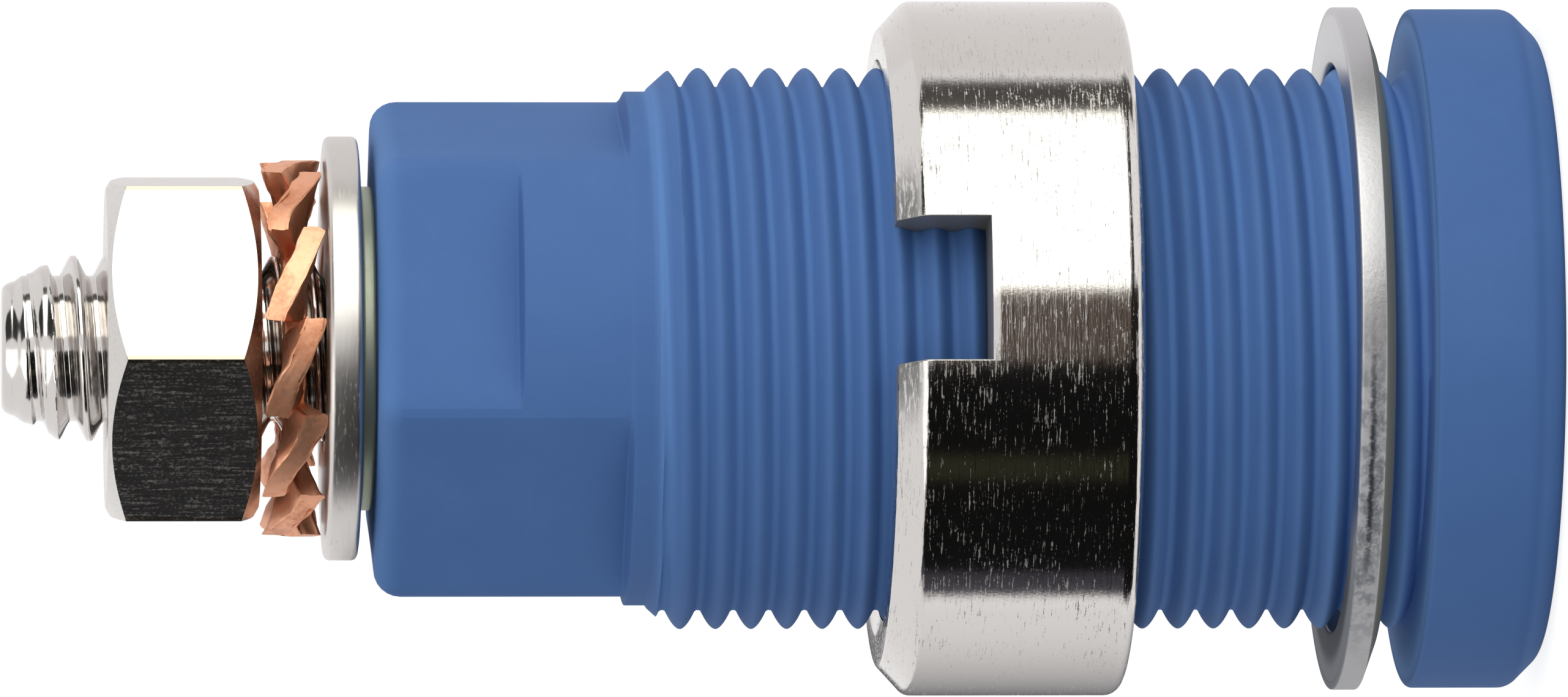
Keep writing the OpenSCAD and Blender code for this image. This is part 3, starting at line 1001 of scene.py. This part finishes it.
def cut_terminal_nut(sizes, colours):
    """The hexagon terminal nut: bevelled corners, a tapped hole and softened edges."""
    low, high = node_box("terminal_nut")
    corner_r = sizes.hexagon_w / 2 / math.cos(math.pi / 6)
    start_alone()
    bpy.ops.mesh.primitive_cylinder_add(
        vertices=6,
        radius=corner_r,
        depth=high.z - low.z,
        location=(0, 0, (low.z + high.z) / 2),
        rotation=(0, 0, sizes.hexagon_turn - math.pi / 2),
    )
    piece = bpy.context.object
    piece.name = piece.data.name = "hexagon_terminal_nut"
    bpy.ops.object.transform_apply()
    bevel_slope = math.tan(math.radians(30))
    past = 0.001
    past_r = corner_r + 0.5
    drop = (past_r - sizes.hexagon_face_r) * bevel_slope
    blank = spun(
        "blank",
        [
            (0, low.z - past),
            (sizes.hexagon_face_r, low.z - past),
            (past_r, low.z + drop),
            (past_r, high.z - drop),
            (sizes.hexagon_face_r, high.z + past),
            (0, high.z + past),
        ],
        ROUND_STEPS,
    )
    combined(piece, blank, "INTERSECT")
    hole = sizes.stud_r + sizes.play
    chamfer = 0.25
    edge_w = 0.07
    beyond = 1.0
    tap_outline = [(0, low.z - beyond), (hole + chamfer + beyond, low.z - beyond)]
    tap_outline += rows(low.z + chamfer, high.z - chamfer, hole, sizes.stud_pitch / 12)
    tap_outline += [(hole + chamfer + beyond, high.z + beyond), (0, high.z + beyond)]
    tap = spun("tap", tap_outline, STUD_STEPS)

    def tapped(radius, angle, height):
        thread = cut_thread(sizes, hole, angle, height)
        in_bore = (height > low.z + chamfer / 2) & (height < high.z - chamfer / 2) & (radius > hole / 2)
        return np.where(in_bore, thread, radius)

    reshaped(tap, tapped)
    creases = sharp_edges(piece, 15)
    bevelled(piece, lambda edge: edge.index in creases, edge_w, 3)
    combined(piece, tap, "DIFFERENCE")
    finish = drawn_nickel(colours, corner_r)
    handed_over(piece, "terminal_nut", "terminal_nut", finish, 28, crisp=True)


# Stage, in metres


def seen_directly(finish):
    """1 for rays from the camera, mirrors and glass, and 0 for rays that carry soft light."""
    kinds = ("Is Camera Ray", "Is Glossy Ray", "Is Transmission Ray")
    camera, glossy, through = (finish.node("ShaderNodeLightPath", output=kind) for kind in kinds)
    return (camera + glossy + through).smaller(1.0)


def set_floor(colours):
    """A pale floor that is white where it is lit and keeps the socket's shadow."""
    just_below = -0.00002
    start_alone()
    bpy.ops.mesh.primitive_plane_add(size=6, location=(0, 0, just_below))
    floor = bpy.context.object
    floor.name = floor.data.name = "floor"
    finish = new_finish("pale_floor")
    diffuse = finish.node("ShaderNodeBsdfDiffuse", None, {"Color": (*colours.floor, 1)})
    glow = finish.node("ShaderNodeEmission", None, {"Color": (1, 1, 1, 1), "Strength": 1.42})
    glow_share = seen_directly(finish) * 0.6
    surface = finish.node("ShaderNodeMixShader", None, {0: glow_share, 1: diffuse, 2: glow})
    floor.data.materials.append(finish.ended(surface))


def set_world():
    """A white surround, which lights the socket more softly than it shows."""
    world = bpy.data.worlds.new("studio")
    bpy.context.scene.world = world
    finish = Finish(world)
    dim = finish.node("ShaderNodeBackground", None, {"Color": (1, 1, 1, 1), "Strength": 0.635})
    white = finish.node("ShaderNodeBackground", None, {"Color": (1, 1, 1, 1), "Strength": 1.0})
    surround = finish.node("ShaderNodeMixShader", None, {0: seen_directly(finish), 1: dim, 2: white})
    finish.node("ShaderNodeOutputWorld", None, {"Surface": surround})


def add_softbox(name, first, last, radiance):
    """An upright soft lamp that fills the directions between two angles, in degrees."""
    distance = 0.07
    tall = 0.15
    middle = math.radians((first + last) / 2)
    wide = 2 * distance * math.tan(math.radians(last - first) / 2)
    out = Vector((math.cos(middle), math.sin(middle), 0))
    place = out * distance + Vector((0, 0, tall / 2))
    facing = (-out).to_track_quat("-Z", "Y").to_euler()
    start_alone()
    bpy.ops.object.light_add(type="AREA", location=place, rotation=facing)
    lamp = bpy.context.object
    lamp.name = lamp.data.name = name
    lamp.data.shape = "RECTANGLE"
    lamp.data.size = wide
    lamp.data.size_y = tall
    lamp.data.energy = math.pi * wide * tall * radiance
    lamp.visible_camera = False
    lamp.visible_glossy = False


def lying(near=0.012, far=0.075):
    """Outline of a card that lies on the floor."""
    above_floor = 0.0002
    return [(near, above_floor), (far, above_floor)]


def standing(low, tall, far=0.075):
    """Outline of an upright card."""
    return [(far, low), (far, tall)]


def bent(tall):
    """Outline of a card that lies on the floor and is bent up at its far end."""
    on_floor = lying()
    return on_floor + standing(on_floor[-1][1], tall)


def add_card(name, first, last, level, outline, fades=False):
    """A curved card round the socket between two angles, in degrees.

    It only shows in polished metal. One that fades goes to white at its last angle.
    """
    steps = 24
    start = math.radians(first)
    end = math.radians(last)
    card = spun(name, outline, steps, end, end - start)
    finish = new_finish(name)
    shade = (*level, 1)
    if fades:
        x, y = finish.split(finish.place())[:2]
        angle = about_axis(finish, x, y)[1]
        shade = finish.mixed(angle.rise(start, end), level, (1, 1, 1))
    glow = finish.node("ShaderNodeEmission", None, {"Color": shade, "Strength": 1.0})
    card.data.materials.append(finish.ended(glow))
    card.visible_camera = False
    card.visible_diffuse = False
    card.visible_shadow = False
    card.visible_transmission = False


def set_cards():
    """The cards that give the nuts and washers their bright and dark bands."""
    shade = (0.04, 0.04, 0.04)
    tall = 0.06
    inner = 0.074
    add_card("bright_card", 289, 351, (2.7, 2.7, 2.5), standing(0.0, 0.07))
    add_card("shade_card", 289, 351, shade, standing(0.07, 0.24))
    add_card("shade_strip", 289, 351, shade, lying(0.022, 0.036))
    add_card("brown_card", 266, 289, (0.132, 0.102, 0.085), standing(0.0, 0.0125))
    add_card("brown_strip", 266, 289, (0.02, 0.018, 0.016), lying())
    add_card("dark_card", 184, 266, (0.007, 0.007, 0.007), bent(tall))
    add_card("edge_card", 216, 268, (1.8, 1.8, 1.75), standing(0.062, 0.25))
    add_card("olive_strip", 228, 236, (0.034, 0.034, 0.02), standing(0.0, tall, inner))
    add_card("violet_strip", 184, 194, (0.06, 0.058, 0.072), standing(0.0, tall, inner))
    add_card("top_card", -13, 6, (0.085, 0.08, 0.075), bent(tall))
    add_card("pale_card", 10, 84, (0.93, 0.91, 0.91), bent(tall))
    add_card("grey_card", 86, 178, (0.075, 0.07, 0.085), bent(0.022), fades=True)


def set_camera():
    """The camera at the photograph's angle, with the socket's axis level in the picture."""
    place = Vector((0, -0.340, 0.03668))
    target = Vector((0, 0, 0.01583))
    ahead = (target - place).normalized()
    up = Vector((1, 0, 0))
    right = ahead.cross(up)
    start_alone()
    bpy.ops.object.camera_add()
    camera = bpy.context.object
    camera.name = camera.data.name = "camera"
    camera.matrix_world = Matrix.Translation(place) @ Matrix((right, up, -ahead)).transposed().to_4x4()
    camera.data.sensor_width = 36
    camera.data.lens = 372
    camera.data.clip_start = 0.01
    camera.data.clip_end = 20
    bpy.context.scene.camera = camera


# Operators


def inputs(context):
    """The sizes and the colours that the panel's steps work with."""
    return context.scene.socket_sizes, context.scene.socket_colours


class SOCKET_OT_housing(bpy.types.Operator):
    """Moulds the housing with its flange, thread, barrel and inner tube"""

    bl_idname = "socket.housing"
    bl_label = "Housing"

    def execute(self, context):
        mould_housing(*inputs(context))
        return {"FINISHED"}


class SOCKET_OT_contact(bpy.types.Operator):
    """Turns the contact with its plug bore, collar and stud"""

    bl_idname = "socket.contact"
    bl_label = "Contact"

    def execute(self, context):
        turn_contact(*inputs(context))
        return {"FINISHED"}


class SOCKET_OT_panel_set(bpy.types.Operator):
    """Makes the panel washer and the slotted panel nut"""

    bl_idname = "socket.panel_set"
    bl_label = "Panel nut and washer"

    def execute(self, context):
        punch_panel_washer(*inputs(context))
        turn_panel_nut(*inputs(context))
        return {"FINISHED"}


class SOCKET_OT_terminal_set(bpy.types.Operator):
    """Makes the flat washer, the lock washer and the hexagon nut of the terminal"""

    bl_idname = "socket.terminal_set"
    bl_label = "Terminal nut and washers"

    def execute(self, context):
        turn_flat_washer(*inputs(context))
        twist_lock_washer(*inputs(context))
        cut_terminal_nut(*inputs(context))
        return {"FINISHED"}


class SOCKET_OT_stage(bpy.types.Operator):
    """Sets the floor, the surround, the lamp, the cards that metal mirrors, and the camera"""

    bl_idname = "socket.stage"
    bl_label = "Stage"

    def execute(self, context):
        set_floor(context.scene.socket_colours)
        set_world()
        add_softbox("fill_lamp", 275, 350, 1.0)
        set_cards()
        set_camera()
        context.scene.view_settings.view_transform = "Standard"
        return {"FINISHED"}


class SOCKET_PT_panel(bpy.types.Panel):
    """Lists the steps that build the socket"""

    bl_idname = "SOCKET_PT_panel"
    bl_label = "Safety banana socket"
    bl_space_type = "VIEW_3D"
    bl_region_type = "UI"
    bl_category = "Socket"

    def draw(self, context):
        for step in STEPS:
            self.layout.operator(step.bl_idname)


STEPS = (SOCKET_OT_housing, SOCKET_OT_contact, SOCKET_OT_panel_set, SOCKET_OT_terminal_set, SOCKET_OT_stage)
CLASSES = (SocketSizes, SocketColours, *STEPS, SOCKET_PT_panel)


def register():
    for each in CLASSES:
        bpy.utils.register_class(each)
    bpy.types.Scene.socket_sizes = bpy.props.PointerProperty(type=SocketSizes)
    bpy.types.Scene.socket_colours = bpy.props.PointerProperty(type=SocketColours)


def unregister():
    del bpy.types.Scene.socket_colours
    del bpy.types.Scene.socket_sizes
    for each in reversed(CLASSES):
        bpy.utils.unregister_class(each)


def main():
    """Builds the socket and its stage."""
    register()
    bpy.ops.socket.housing()
    bpy.ops.socket.contact()
    bpy.ops.socket.panel_set()
    bpy.ops.socket.terminal_set()
    bpy.ops.socket.stage()


if __name__ == "__main__":
    main()
